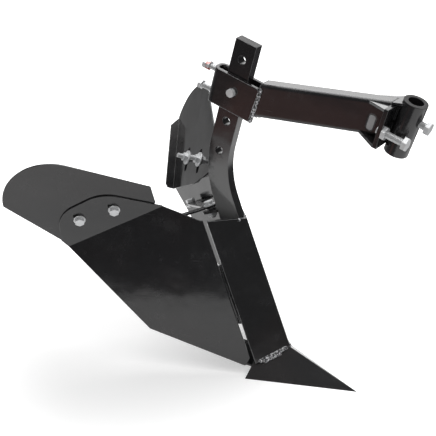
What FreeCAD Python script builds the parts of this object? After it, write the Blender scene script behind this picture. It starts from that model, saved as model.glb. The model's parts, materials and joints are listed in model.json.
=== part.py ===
"""Adjustable ridging plough with a pin hitch, as an assembly of separate pieces.

Millimetres.  +X is forward, +Y is left, +Z is up.  The origin is the middle of the hitch
tube's bore, which holds the plough, and the flat underside of the share is level.

Three tilted frames carry the pieces:
  upright  the shank's upper run, the clamp, the beam and the hitch; it leans forward
           because the share's underside is level
  ridge    the breast and the wings, whose hinges run along the breast's ridge
  floor    the share
"""
import FreeCAD, Part
import math, os

V = FreeCAD.Vector
Placement = FreeCAD.Placement
Rotation = FreeCAD.Rotation

# ---- stance ----
LEAN_FORWARD = 15.0          # upright frame, degrees from the vertical
RIDGE_RAKE = 22.4            # ridge frame, degrees from the vertical, the other way
UPRIGHT_BASE_Z = 351.8       # height of the upright frame's origin
RIDGE_TOP = (41.5, 234.9)    # x, z of the ridge's top end

# ---- shank: flat bar with a row of depth holes ----
SHANK_WIDTH = 35.0
SHANK_THICK = 15.0
SHANK_TOP = 161.0
SHANK_TURN = 36.0            # between the two runs, degrees
SHANK_BEND_Z = -50.2         # where the two runs would meet
SHANK_BEND_RADIUS = 144.2
SHANK_LOW_LENGTH = 275.0
HOLE_PITCH = 50.0
HOLE_TOP_Z = 133.5
HOLE_COUNT = 4
HOLE_RADIUS = 6.4

# ---- breast: V-shaped plate in front of the shank ----
BREAST_HALF_ANGLE = 47.9     # each side from straight back
BREAST_SIDE = 59.1           # width of one side
BREAST_THICK = 4.0
BREAST_TOP_BACK = 16.3       # how much higher the side's rear corner is than the ridge
BREAST_BOTTOM = 212.4         # along the ridge
BREAST_BOTTOM_DROP = 5.1     # how much lower the side's rear corner is than the ridge's foot

# ---- share ----
SHARE_TIP_X = 239.7
SHARE_REAR_X = 81.1
SHARE_HALF_WIDTH = 63.3
SHARE_THICK = 5.0
SHARE_TOP = (122.4, 0.0, 38.5)        # upper end of the share's ridge
SHARE_SHOULDER = (83.4, -40.0, 26.0)
SHARE_TUCK = 7.0             # how far the blades run on under the breast

# ---- sole: level plate on the ground under the shank's foot, behind the share ----
SOLE_REAR, SOLE_FRONT = 5.0, 130.0
SOLE_HALF_WIDTH = 29.0
SOLE_THICK = 3.0

# ---- wings ----
WING_SWEEP = 25.7            # main plate, from straight back
WING_THICK = 2.0
WING_FRONT = (-45.0, -46.2)  # ridge frame x, y of the front edge's outer face
FOLD_FRONT = (51.0, 57.5)    # fold line's ends: back from the front edge, up the ridge
FOLD_REAR = (212.6, 38.1)
FOLD_ANGLE = 35.4
EXTENSION_THICK = 2.0
EXTENSION_GAP = 0.15         # each side of the sliding extension
LIP_DEPTH = 14.0
LIP_TAPER = 20.0             # run over which the lip's upper end grows to its full depth
LIP_CHAMFER = 4.0            # at the lip's lower end

# ---- hinges ----
KNUCKLE_RADIUS = 5.0
PIN_RADIUS = 2.95
PIN_CLEARANCE = 0.05
HINGE_TOP, HINGE_BOTTOM = -55.5, -150.5   # ends of the hinge, up the ridge
KNUCKLE_LENGTH = 10.0        # the two end knuckles, on the breast
KNUCKLE_GAP = 0.4
PIN_REACH = 1.5              # pin beyond the end knuckles
BREAST_LEAF, WING_LEAF = 16.0, 22.0       # leaves, from the hinge's axis
HINGE_AXIS = (-46.2, -37.3)       # ridge frame x, y
LEAF_THICK = 3.0

# ---- clamp, beam and hitch (upright frame) ----
CLAMP_LOW, CLAMP_HIGH = 53.0, 107.0
CLAMP_REAR, CLAMP_FRONT = -39.5, 40.0
CLAMP_THICK = 5.0
CLAMP_BEND = 10.5            # outside radius of the strap's two bends
CLAMP_CORNER = 4.0
CLAMP_PLAY = 0.3
BEAM_HEIGHT, BEAM_WIDTH, BEAM_WALL = 50.0, 25.0, 3.0
BEAM_CORNER = 4.0
BEAM_RISE = 19.1             # degrees
BEAM_START = (42.5, 90.3)    # x, z of the beam's axis at the clamp
BEAM_REACH, BEAM_BEHIND = 260.0, 30.0     # its uncut length, and how much is behind that point
GUSSET_START_X = 200.0
END_PLATE = (231.5, 237.5, 119.5, 179.0)   # x low, x high, z low, z high
END_PLATE_HALF, END_PLATE_CORNER = 33.0, 2.0
HITCH_X, HITCH_Z = 256.1, 152.8   # middle of the hitch tube
HITCH_LEAN = 2.8             # tube, from the upright frame
HITCH_LENGTH = 79.0
HITCH_RADIUS = 16.85
HITCH_BORE = 11.0
# ---- clamp bolts, depth pin, hitch bolts and plates (upright frame) ----
CLAMP_BOLT_HEIGHTS = (98.5, 65.0)
CLAMP_BOLT_RADIUS = 4.0
CLAMP_BOLT_HEAD = -56.0
CLAMP_BOLT_FLATS, CLAMP_BOLT_HEAD_HEIGHT = 13.0, 5.5
DEPTH_PIN_Z = 83.5
DEPTH_PIN_RADIUS = 6.1
DEPTH_PIN_LENGTH = 38.0
GUSSET_THICK = 4.0
GUSSET_TOP_Z, GUSSET_SLOPE = 169.5, 14.6   # upper gussets, at their start
GUSSET_EDGE = 1.0            # how far the gussets stop short of the end plate's sides
SLOT_X, SLOT_LOW, SLOT_HIGH, SLOT_WIDTH = 212.3, 130.8, 152.3, 9.0
SLOT_CORNER = 3.5
WEB_THICK, WEB_INSET = 8.0, 4.0
STRAP_THICK = 3.0
STOP_BOLT_RADIUS = 5.0
STOP_BOLT_Y, STOP_BOLT_Z = 26.5, 143.8
STOP_BOLT_HEADS = (268.8, 246.0)  # right and left, each screwed in by its own amount
STOP_BOLT_LENGTH = 40.0
STOP_NUT_HEIGHT = 5.5
SET_BOLT_RADIUS = 5.0
SET_BOLT_HEAD, SET_BOLT_Z = 25.5, 13.5     # from the middle of the tube
M10_FLATS, M10_HEAD = 17.0, 6.4

# ---- extension bolts ----
EXTENSION_CORNERS = (V(6, 0, 9.6), V(-4, 0, 42.5), V(78, 0, 147), V(129, 0, 171.3), V(196.6, 0, 124.5),
                     V(158.4, 0, -8.0), V(70, 0, -8.0))
EXTENSION_ARCS = (V(99, 0, 164.0), V(171, 0, 157.0))      # mid points of its two arcs
FLANGE_BOLTS = ((117.6, 41.9), (63.8, 32.6))
BOLT_RADIUS, SLOT_RADIUS = 4.0, 4.5
SLOT_BELOW, SLOT_ABOVE = 6.0, 14.0
EAR_SLOT_BELOW, EAR_SLOT_ABOVE = 23.0, 18.0
BOLT_FLANGE_RADIUS, BOLT_FLANGE_THICK = 8.9, 1.6
M8_FLATS, M8_HEAD, M8_NUT = 13.0, 5.3, 6.5
WASHER_RADIUS, WASHER_THICK = 12.0, 1.6
BOLT_LENGTH = 22.4

# ---- braces (ridge frame) ----
BRACE_BOLT_X = -61.0
BRACE_BOLT_RADIUS = 4.0
BRACE_Z = (26.0, 22.8)       # undersides of the right and left links at the shank
BRACE_OUTER_Z = (29.0, 13.0) # and at the wings
BRACE_THICK, BRACE_WIDTH = 3.0, 14.0
BRACE_GAP = 0.2
BRACE_PIVOT = (135.0, -16.0) # wing frame: back from the front edge, and inwards
BRACE_FLAT = 20.0            # level run either side of the bolt before the link bends
BRACE_TRAVEL = 3.9           # slot, each way from the bolt
BRACE_END = 7.4              # beyond the slot's end
BRACE_SLOT_PLAY = 0.6        # each side of the bolt
BRACKET_HALF = 11.0
BRACKET_CORNER = 5.0
BRACKET_THICK = 4.0
BRACE_BOLT_TAIL = 9.0        # of the bolt below the bracket
LUG_HALF, LUG_TAPER = 11.0, 2.0
LUG_REACH = 8.0              # beyond the pivot
PIVOT_TAIL = 1.0             # of the pivot bolt below the lug

# ---- fasteners ----
STUD_SIDES, WASHER_SIDES = 16, 24
ROUND_END = 0.999            # a round end's radius over half its width
WING_ROOM = 100.0            # taller than any piece that is cut through
CROWN_CORNERS = 1.06         # across a head's turned-down corners, over its flats

upright = Placement(V(0, 0, UPRIGHT_BASE_Z), Rotation(V(0, 1, 0), LEAN_FORWARD))
ridge = Placement(V(RIDGE_TOP[0], 0, RIDGE_TOP[1]), Rotation(V(0, 1, 0), -RIDGE_RAKE))
floor = Placement()
hitch = upright.multiply(Placement(V(HITCH_X, 0, HITCH_Z), Rotation(V(0, 1, 0), HITCH_LEAN)))
centre = Placement(hitch.Base * -1, Rotation())


def put(shape, *frames):
    """Move a shape from its own frame into the plough's frame."""
    place = centre
    for frame in frames:
        place = place.multiply(frame)
    moved = shape.copy()
    moved.Placement = place.multiply(shape.Placement)
    return moved


def mirrored(shape):
    return shape.mirror(V(0, 0, 0), V(0, 1, 0))


def point(corner, plane):
    """A corner given in a drawing plane, as a vector."""
    a, b = corner[0], corner[1]
    return V(a, 0, b) if plane == "xz" else V(a, b, 0)


def outline(corners, plane="xz"):
    """Closed wire through corners (a, b) or, rounded, (a, b, radius)."""
    edges, ends = [], []
    count = len(corners)
    for i, corner in enumerate(corners):
        here = point(corner, plane)
        if len(corner) < 3:
            ends.append((here, here))
            continue
        before = (point(corners[i - 1], plane) - here).normalize()
        after = (point(corners[(i + 1) % count], plane) - here).normalize()
        half = before.getAngle(after) / 2
        reach = corner[2] / math.tan(half)
        inward = (before + after).normalize()
        start, end = here + before * reach, here + after * reach
        middle = here + inward * (corner[2] / math.sin(half) - corner[2])
        ends.append((start, end))
        edges.append((i, Part.Arc(start, middle, end).toShape()))
    arcs = dict(edges)
    path = []
    for i in range(count):
        if i in arcs:
            path.append(arcs[i])
        leave, arrive = ends[i][1], ends[(i + 1) % count][0]
        if leave.distanceToPoint(arrive) > 1e-6:
            path.append(Part.makeLine(leave, arrive))
    return Part.Wire(path)


def plate(corners, low, high, plane="xz"):
    """Flat plate: an outline given thickness from low to high across its plane."""
    across = V(0, 1, 0) if plane == "xz" else V(0, 0, 1)
    face = Part.Face(outline(corners, plane))
    face.translate(across * low)
    return face.extrude(across * (high - low))


def rod(radius, start, axis, length):
    return Part.makeCylinder(radius, length, V(*start), V(*axis))


def polygon(sides, corner, height=0.0, turn=0.0):
    """Regular polygon with its corners at one radius, level at a height."""
    angles = [math.radians(360.0 * i / sides + turn) for i in range(sides + 1)]
    return Part.makePolygon([V(corner * math.cos(a), corner * math.sin(a), height) for a in angles])


def stud(radius, start, axis, length, sides=STUD_SIDES):
    """Many-sided bar, as the shafts, washers and holes of the small fasteners."""
    bar = Part.Face(polygon(sides, radius)).extrude(V(0, 0, length))
    bar.Placement = Placement(V(*start), Rotation(V(0, 0, 1), V(*axis)))
    return bar


def prism(across_flats, start, axis, height):
    """Hexagonal prism, as a nut or a bolt's head, with its outer corners turned down."""
    corner = across_flats / math.sqrt(3)
    body = Part.Face(polygon(6, corner)).extrude(V(0, 0, height))
    wide, narrow = corner * CROWN_CORNERS + height, corner * CROWN_CORNERS
    foot, rim = polygon(6, wide * 2 / math.sqrt(3), 0, 30), polygon(6, narrow, height, 30)
    crown = Part.makeLoft([foot, rim], True)
    solid = body.common(crown)
    solid.Placement = Placement(V(*start), Rotation(V(0, 0, 1), V(*axis)))
    return solid


def obround(a, low, high, width, thick_low, thick_high):
    """Cutter for a slot that runs up the drawing plane at a, from low to high."""
    half, r = width / 2, width / 2 * ROUND_END
    return plate([(a - half, low, r), (a + half, low, r), (a + half, high, r), (a - half, high, r)],
                 thick_low, thick_high)


parts = {}


# ---- shank ----
def make_shank():
    half = SHANK_WIDTH / 2
    turn = math.radians(SHANK_TURN)
    tangent = SHANK_BEND_RADIUS * math.tan(turn / 2)
    bend_start = V(0, 0, SHANK_BEND_Z + tangent)
    down = V(math.sin(turn), 0, -math.cos(turn))
    corner = V(0, 0, SHANK_BEND_Z)
    bend_end = corner + down * tangent
    middle = corner + (V(0, 0, 1) + down).normalize() * (SHANK_BEND_RADIUS / math.cos(turn / 2)
                                                          - SHANK_BEND_RADIUS)
    spine = Part.Wire([Part.makeLine(V(0, 0, SHANK_TOP), bend_start),
                       Part.Arc(bend_start, middle, bend_end).toShape(),
                       Part.makeLine(bend_end, corner + down * (tangent + SHANK_LOW_LENGTH))])
    section = Part.makePolygon([V(-half, -SHANK_THICK / 2, SHANK_TOP), V(half, -SHANK_THICK / 2, SHANK_TOP),
                                V(half, SHANK_THICK / 2, SHANK_TOP), V(-half, SHANK_THICK / 2, SHANK_TOP),
                                V(-half, -SHANK_THICK / 2, SHANK_TOP)])
    bar = spine.makePipeShell([section], True, True)
    for i in range(HOLE_COUNT):
        hole = rod(HOLE_RADIUS, (0, -SHANK_THICK, HOLE_TOP_Z - i * HOLE_PITCH), (0, 1, 0), 2 * SHANK_THICK)
        bar = bar.cut(hole)
    return bar


def breast_side():
    """Right-hand side of the breast: outer face through the ridge, inner face behind it."""
    a = math.radians(BREAST_HALF_ANGLE)
    back = V(-math.cos(a), -math.sin(a), 0)
    inward = V(-math.sin(a), math.cos(a), 0)
    reach = BREAST_THICK / math.sin(a)
    corners = [V(0, 0, 0), back * BREAST_SIDE, back * BREAST_SIDE + inward * BREAST_THICK, V(-reach, 0, 0)]
    face = Part.Face(Part.makePolygon(corners + [corners[0]]))
    face.translate(V(0, 0, -1.5 * BREAST_BOTTOM))
    return face.extrude(V(0, 0, 2 * BREAST_BOTTOM))


def under_breast_top(front, bottom):
    """Room under the breast's slanting top edge, from far behind to front and down to bottom."""
    rear = -2 * BREAST_SIDE
    slope = -BREAST_TOP_BACK / (math.cos(math.radians(BREAST_HALF_ANGLE)) * BREAST_SIDE)
    return plate([(front, slope * front), (rear, slope * rear), (rear, bottom), (front, bottom)], -100, 100)


def make_breast():
    """Both sides, trimmed by a slanting top and bottom."""
    whole = breast_side().fuse(mirrored(breast_side())).removeSplitter()
    slope = BREAST_BOTTOM_DROP / (math.cos(math.radians(BREAST_HALF_ANGLE)) * BREAST_SIDE)
    below = plate([(BREAST_SIDE, -BREAST_BOTTOM + slope * BREAST_SIDE),
                   (-2 * BREAST_SIDE, -BREAST_BOTTOM - 2 * slope * BREAST_SIDE),
                   (-2 * BREAST_SIDE, -2 * BREAST_BOTTOM), (BREAST_SIDE, -2 * BREAST_BOTTOM)], -100, 100)
    return whole.common(under_breast_top(BREAST_SIDE, -2 * BREAST_BOTTOM)).cut(below)


def ahead_of_breast():
    """Everything in front of the breast's inner faces, up to its top edge, which the shank leaves free."""
    a = math.radians(BREAST_HALF_ANGLE)
    apex = V(-BREAST_THICK / math.sin(a), 0, 0)
    reach = 2 * BREAST_SIDE
    right_rear = apex + V(-math.cos(a), -math.sin(a), 0) * reach
    left_rear = apex + V(-math.cos(a), math.sin(a), 0) * reach
    corners = [apex, right_rear, V(reach, -reach, 0), V(reach, reach, 0), left_rear]
    face = Part.Face(Part.makePolygon(corners + [apex]))
    face.translate(V(0, 0, -2 * BREAST_BOTTOM))
    return face.extrude(V(0, 0, 3 * BREAST_BOTTOM)).common(under_breast_top(reach, -2 * BREAST_BOTTOM))


def make_share():
    """Arrow-headed share: two blades that meet on a raised ridge and run on under the breast."""
    tip = V(SHARE_TIP_X, 0, 0)
    corner = V(SHARE_REAR_X, -SHARE_HALF_WIDTH, 0)
    top = V(*SHARE_TOP)
    normal = (top - tip).cross(corner - tip).normalize()
    shoulder = V(*SHARE_SHOULDER)
    shoulder = shoulder - normal * (shoulder - tip).dot(normal)
    edge = (top - shoulder).normalize()
    tucked = shoulder + edge * SHARE_TUCK + normal.cross(edge) * -SHARE_TUCK
    crest = top + (top - tip).normalize() * SHARE_TUCK
    upper_face = Part.Face(Part.makePolygon([tip, corner, shoulder, tucked, crest, tip]))
    blade = upper_face.extrude(normal * -SHARE_THICK)
    blade = blade.common(Part.makeBox(400, 200, 200, V(-50, -200, 0)))
    return blade.fuse(mirrored(blade)).removeSplitter()


def make_sole():
    length, width = SOLE_FRONT - SOLE_REAR, 2 * SOLE_HALF_WIDTH
    return Part.makeBox(length, width, SOLE_THICK, V(SOLE_REAR, -SOLE_HALF_WIDTH, 0))


# ---- clamp: a strap bent into a U round the shank, welded to the beam ----
def make_clamp():
    inner = SHANK_THICK / 2 + CLAMP_PLAY
    outer = inner + CLAMP_THICK
    bend = CLAMP_BEND - CLAMP_THICK
    strap = plate([(CLAMP_REAR, -outer, CLAMP_BEND), (CLAMP_FRONT, -outer), (CLAMP_FRONT, -inner),
                   (CLAMP_REAR + CLAMP_THICK, -inner, bend), (CLAMP_REAR + CLAMP_THICK, inner, bend),
                   (CLAMP_FRONT, inner), (CLAMP_FRONT, outer), (CLAMP_REAR, outer, CLAMP_BEND)],
                  CLAMP_LOW, CLAMP_HIGH, "xy")
    side = [(CLAMP_REAR, CLAMP_LOW), (CLAMP_FRONT, CLAMP_LOW, CLAMP_CORNER),
            (CLAMP_FRONT, CLAMP_HIGH, CLAMP_CORNER), (CLAMP_REAR, CLAMP_HIGH)]
    strap = strap.common(plate(side, -outer, outer))
    for z in CLAMP_BOLT_HEIGHTS:
        strap = strap.cut(stud(CLAMP_BOLT_RADIUS, (CLAMP_REAR, 0, z), (1, 0, 0), 2 * CLAMP_THICK))
    return strap.cut(stud(HOLE_RADIUS, (0, -outer, DEPTH_PIN_Z), (0, 1, 0), 2 * outer, WASHER_SIDES))


def make_clamp_bolts():
    """Set bolts through the strap's bend, which press on the shank's rear edge."""
    tip = -SHANK_WIDTH / 2
    bolts = []
    for z in CLAMP_BOLT_HEIGHTS:
        head = prism(CLAMP_BOLT_FLATS, (CLAMP_BOLT_HEAD, 0, z), (-1, 0, 0), CLAMP_BOLT_HEAD_HEIGHT)
        shaft = stud(CLAMP_BOLT_RADIUS, (CLAMP_BOLT_HEAD, 0, z), (1, 0, 0), tip - CLAMP_BOLT_HEAD)
        bolts.append(head.fuse(shaft))
    return Part.makeCompound(bolts)


def make_clamp_nut():
    """Nut on the upper set bolt, against its head."""
    z = CLAMP_BOLT_HEIGHTS[0]
    nut = prism(CLAMP_BOLT_FLATS, (CLAMP_BOLT_HEAD, 0, z), (1, 0, 0), CLAMP_BOLT_HEAD_HEIGHT)
    return nut.cut(stud(CLAMP_BOLT_RADIUS, (CLAMP_BOLT_HEAD, 0, z), (1, 0, 0), CLAMP_BOLT_HEAD_HEIGHT))


def make_depth_pin():
    """Headless pin through the strap and the shank's second hole."""
    end = (0, -DEPTH_PIN_LENGTH / 2, DEPTH_PIN_Z)
    return stud(DEPTH_PIN_RADIUS, end, (0, 1, 0), DEPTH_PIN_LENGTH, WASHER_SIDES)


# ---- beam: rectangular tube that rises to the hitch ----
beam_line = Placement(V(BEAM_START[0], 0, BEAM_START[1]), Rotation(V(0, 1, 0), -BEAM_RISE))


def beam_section(height, width, corner):
    """Uncut bar of one section on the beam's axis."""
    h, w = height / 2, width / 2
    bar = plate([(-h, -w, corner), (h, -w, corner), (h, w, corner), (-h, w, corner)], 0, BEAM_REACH, "xy")
    along = Placement(V(-BEAM_BEHIND, 0, 0), Rotation(V(0, 1, 0), 90))
    bar.Placement = beam_line.multiply(along).multiply(bar.Placement)
    return bar


def beam_outside():
    """The beam's outer form, uncut."""
    return beam_section(BEAM_HEIGHT, BEAM_WIDTH, BEAM_CORNER)


def beam_slot():
    """Bar that fills the slot through both sides of the beam, near its end."""
    half = SLOT_WIDTH / 2
    return plate([(SLOT_X - half, SLOT_LOW, SLOT_CORNER), (SLOT_X + half, SLOT_LOW, SLOT_CORNER),
                  (SLOT_X + half, SLOT_HIGH, SLOT_CORNER), (SLOT_X - half, SLOT_HIGH, SLOT_CORNER)],
                 -BEAM_WIDTH / 2, BEAM_WIDTH / 2)


def make_beam():
    """Tube from the clamp to the end plate."""
    height, width = BEAM_HEIGHT - 2 * BEAM_WALL, BEAM_WIDTH - 2 * BEAM_WALL
    hollow = beam_section(height, width, BEAM_CORNER - BEAM_WALL)
    keep = Part.makeBox(END_PLATE[0] - CLAMP_FRONT, 100, 400, V(CLAMP_FRONT, -50, -100))
    return beam_outside().cut(hollow).common(keep).cut(beam_slot())


# ---- hitch: plate across the beam's end, gussets, and the upright pin tube ----
def make_end_plate():
    low, high, bottom, top = END_PLATE
    half, corner = END_PLATE_HALF, END_PLATE_CORNER
    slab = plate([(-half, bottom, corner), (half, bottom, corner), (half, top, corner),
                  (-half, top, corner)], -high, -low)
    slab.Placement = Placement(V(0, 0, 0), Rotation(V(0, 0, 1), 90)).multiply(slab.Placement)
    for side in (-1, 1):
        start = (low, side * STOP_BOLT_Y, STOP_BOLT_Z)
        slab = slab.cut(stud(STOP_BOLT_RADIUS, start, (1, 0, 0), high - low))
    return slab


def make_gussets():
    """Plates that widen from the beam's corners to the end plate, above and below."""
    low = END_PLATE[0]
    half_beam, half_plate = BEAM_WIDTH / 2, END_PLATE_HALF - GUSSET_EDGE
    run = low - GUSSET_START_X
    plan = [(0, -half_beam), (run, -half_plate), (run, half_plate), (0, half_beam)]
    lower = plate(plan, 0, GUSSET_THICK, "xy")
    lower.translate(V(GUSSET_START_X, 0, END_PLATE[2]))
    plan = [(0, -half_beam), (run / math.cos(math.radians(GUSSET_SLOPE)), -half_plate),
            (run / math.cos(math.radians(GUSSET_SLOPE)), half_plate), (0, half_beam)]
    upper = plate(plan, -GUSSET_THICK, 0, "xy")
    upper.Placement = Placement(V(GUSSET_START_X, 0, GUSSET_TOP_Z), Rotation(V(0, 1, 0), -GUSSET_SLOPE))
    room = Part.makeBox(run, 200, 200, V(GUSSET_START_X, -100, 50))
    beam = beam_outside()
    return Part.makeCompound([lower.cut(beam).common(room), upper.cut(beam).common(room)])


def tube_outside():
    """Round bar the size of the hitch tube, longer than it, in the upright frame."""
    bar = rod(HITCH_RADIUS, (0, 0, -HITCH_LENGTH), (0, 0, 1), 2 * HITCH_LENGTH)
    bar.Placement = upright.inverse().multiply(hitch).multiply(bar.Placement)
    return bar


def make_hitch_tube():
    """In its own frame, with its middle at the origin."""
    tube = rod(HITCH_RADIUS, (0, 0, -HITCH_LENGTH / 2), (0, 0, 1), HITCH_LENGTH)
    tube = tube.cut(rod(HITCH_BORE, (0, 0, -HITCH_LENGTH), (0, 0, 1), 2 * HITCH_LENGTH))
    return tube.cut(rod(SET_BOLT_RADIUS, (0, 0, SET_BOLT_Z), (1, 0, 0), 2 * HITCH_RADIUS))


def make_hitch_web():
    """Upright web that joins the tube to the end plate."""
    low, high = END_PLATE[2] + WEB_INSET, END_PLATE[3] - WEB_INSET
    web = Part.makeBox(HITCH_X - END_PLATE[1], WEB_THICK, high - low, V(END_PLATE[1], -WEB_THICK / 2, low))
    return web.cut(tube_outside())


def make_hitch_strap():
    """Strap that carries the beam's top line over the end plate to the tube."""
    strap = Part.makeBox(400, BEAM_WIDTH, STRAP_THICK, V(0, -BEAM_WIDTH / 2, BEAM_HEIGHT / 2 - STRAP_THICK))
    strap.Placement = beam_line.multiply(strap.Placement)
    strap = strap.common(Part.makeBox(HITCH_X - END_PLATE[0], 100, 400, V(END_PLATE[0], -50, 0)))
    return strap.cut(tube_outside())


def make_stop_bolts():
    """Bolts either side of the tube, set out or in to steady the plough behind its puller."""
    bolts = []
    for side, head_x in zip((-1, 1), STOP_BOLT_HEADS):
        y = side * STOP_BOLT_Y
        head = prism(M10_FLATS, (head_x, y, STOP_BOLT_Z), (1, 0, 0), M10_HEAD)
        shaft = stud(STOP_BOLT_RADIUS, (head_x, y, STOP_BOLT_Z), (-1, 0, 0), STOP_BOLT_LENGTH)
        bolts.append(head.fuse(shaft))
    return Part.makeCompound(bolts)


def make_stop_nuts():
    nuts = []
    for side in (-1, 1):
        start = (END_PLATE[1], side * STOP_BOLT_Y, STOP_BOLT_Z)
        nut = prism(M10_FLATS, start, (1, 0, 0), STOP_NUT_HEIGHT)
        nuts.append(nut.cut(stud(STOP_BOLT_RADIUS, start, (1, 0, 0), STOP_NUT_HEIGHT)))
    return Part.makeCompound(nuts)


def make_set_bolt():
    inner = HITCH_BORE + 0.5
    head = prism(M10_FLATS, (SET_BOLT_HEAD, 0, SET_BOLT_Z), (1, 0, 0), M10_HEAD)
    return head.fuse(stud(SET_BOLT_RADIUS, (inner, 0, SET_BOLT_Z), (1, 0, 0), SET_BOLT_HEAD - inner))


# ---- wings: a main plate folded outwards along its top into a flange ----
wing = ridge.multiply(Placement(V(WING_FRONT[0], WING_FRONT[1], 0), Rotation(V(0, 0, 1), 180 + WING_SWEEP)))
fold_tilt = math.degrees(math.atan2(FOLD_FRONT[1] - FOLD_REAR[1], FOLD_REAR[0] - FOLD_FRONT[0]))
fold_length = math.hypot(FOLD_REAR[0] - FOLD_FRONT[0], FOLD_REAR[1] - FOLD_FRONT[1])
fold_place = Placement(V(FOLD_FRONT[0], 0, FOLD_FRONT[1]), Rotation(V(0, 1, 0), fold_tilt))
flange_place = fold_place.multiply(Placement(V(0, 0, 0), Rotation(V(1, 0, 0), -FOLD_ANGLE)))
hinge_on_wing = wing.inverse().multiply(ridge).multVec(V(HINGE_AXIS[0], HINGE_AXIS[1], 0))


def make_wing():
    main = plate([(0, 19.5), (0, -206.5, 2.0), (10.4, -216.8, 3.0), (134.6, -120.7, 6.0),
                  FOLD_REAR, FOLD_FRONT, (3.0, 20.0)], -WING_THICK, 0)
    edge = Part.Face(Part.makePolygon([V(0, 0, 0), V(fold_length, 0, 0), V(fold_length, -WING_THICK, 0),
                                       V(0, -WING_THICK, 0), V(0, 0, 0)]))
    bend = edge.revolve(V(0, 0, 0), V(1, 0, 0), -FOLD_ANGLE)
    bend.Placement = fold_place.multiply(bend.Placement)
    flange = plate([(0, 0), (63, 71.5, 50), (139, 68, 44), (165, 17, 2), (fold_length, 0)], -WING_THICK, 0)
    for a, b in FLANGE_BOLTS:
        flange = flange.cut(obround(a, b - SLOT_BELOW, b + SLOT_ABOVE, 2 * SLOT_RADIUS, -10, 10))
    flange.Placement = flange_place.multiply(flange.Placement)
    return main.fuse([bend, flange]).removeSplitter()


def make_extension():
    """Rounded plate behind the flange, slotted for its bolts, with a lip along its rear edge."""
    high = -WING_THICK - EXTENSION_GAP
    low = high - EXTENSION_THICK
    front_low, front_high, round_start, round_top, rear_high, rear_low, kink = EXTENSION_CORNERS
    edges = [Part.makeLine(front_low, front_high), Part.makeLine(front_high, round_start),
             Part.Arc(round_start, EXTENSION_ARCS[0], round_top).toShape(),
             Part.Arc(round_top, EXTENSION_ARCS[1], rear_high).toShape(),
             Part.makeLine(rear_high, rear_low), Part.makeLine(rear_low, kink),
             Part.makeLine(kink, front_low)]
    face = Part.Face(Part.Wire(edges))
    face.translate(V(0, low, 0))
    ear = face.extrude(V(0, high - low, 0))
    for a, b in FLANGE_BOLTS:
        ear = ear.cut(obround(a, b - EAR_SLOT_BELOW, b + EAR_SLOT_ABOVE, 2 * SLOT_RADIUS, -10, 10))
    return ear.fuse(make_lip(rear_low, rear_high, high)).removeSplitter()


def make_lip(bottom, top, outer):
    """Strip along the extension's rear edge, square to it, with a tapered upper end."""
    length = (top - bottom).Length
    depth = LIP_DEPTH + EXTENSION_THICK
    strip = plate([(0, 0), (length, 0), (length - LIP_TAPER, -depth), (LIP_CHAMFER * 1.5, -depth),
                   (0, LIP_CHAMFER - depth)], 0, EXTENSION_THICK, "xy")
    along = (top - bottom).normalize()
    tilt = Rotation(along, V(0, 1, 0), V(-along.z, 0, along.x), "XYZ")
    strip.Placement = Placement(bottom + V(0, outer, 0), tilt)
    return strip


def bolt_stack(kind):
    """Flanged bolts through one wing's flange, or their washers or nuts on its inner side."""
    inner_face = -WING_THICK - 2 * EXTENSION_GAP - EXTENSION_THICK
    pieces = []
    for a, b in FLANGE_BOLTS:
        if kind == "bolt":
            flange = stud(BOLT_FLANGE_RADIUS, (a, 0, b), (0, 1, 0), BOLT_FLANGE_THICK, WASHER_SIDES)
            head = prism(M8_FLATS, (a, BOLT_FLANGE_THICK, b), (0, 1, 0), M8_HEAD)
            pieces.append(flange.fuse([head, stud(BOLT_RADIUS, (a, 0, b), (0, -1, 0), BOLT_LENGTH)]))
        else:
            washer = stud(WASHER_RADIUS, (a, inner_face, b), (0, -1, 0), WASHER_THICK, WASHER_SIDES)
            nut = prism(M8_FLATS, (a, inner_face - WASHER_THICK, b), (0, -1, 0), M8_NUT)
            blank = washer if kind == "washer" else nut
            pieces.append(blank.cut(stud(BOLT_RADIUS, (a, 0, b), (0, -1, 0), BOLT_LENGTH)))
    return Part.makeCompound(pieces)


# ---- hinges between the breast and each wing ----
def make_wing_knuckle():
    """Long middle knuckle of the right-hand hinge with its leaf on the wing's inner face."""
    low = HINGE_BOTTOM + KNUCKLE_LENGTH + KNUCKLE_GAP
    length = HINGE_TOP - KNUCKLE_LENGTH - KNUCKLE_GAP - low
    start = (hinge_on_wing.x, hinge_on_wing.y, low)
    barrel = stud(KNUCKLE_RADIUS, start, (0, 0, 1), length, WASHER_SIDES)
    leaf = Part.makeBox(WING_LEAF - hinge_on_wing.x, LEAF_THICK, length,
                        V(hinge_on_wing.x, -WING_THICK - LEAF_THICK, low))
    return barrel.fuse(leaf).cut(rod(PIN_RADIUS + PIN_CLEARANCE, start, (0, 0, 1), length))


def make_breast_knuckles():
    """End knuckles of the right-hand hinge, each with a leaf on the breast's inner face."""
    a = math.radians(BREAST_HALF_ANGLE)
    forward = V(math.cos(a), math.sin(a), 0)
    inward = V(-math.sin(a), math.cos(a), 0)
    axis = V(HINGE_AXIS[0], HINGE_AXIS[1], 0)
    root = inward * BREAST_THICK
    root = root + forward * (axis - root).dot(forward)
    corners = [root, root + forward * BREAST_LEAF, root + forward * BREAST_LEAF + inward * LEAF_THICK,
               root + inward * LEAF_THICK]
    leaf = Part.Face(Part.makePolygon(corners + [root])).extrude(V(0, 0, KNUCKLE_LENGTH))
    barrel = stud(KNUCKLE_RADIUS, axis, (0, 0, 1), KNUCKLE_LENGTH, WASHER_SIDES)
    knuckle = barrel.fuse(leaf).cut(rod(PIN_RADIUS, axis, (0, 0, 1), KNUCKLE_LENGTH))
    knuckles = []
    for low in (HINGE_BOTTOM, HINGE_TOP - KNUCKLE_LENGTH):
        knuckles.append(knuckle.translated(V(0, 0, low)))
    return Part.makeCompound(knuckles)


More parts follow.
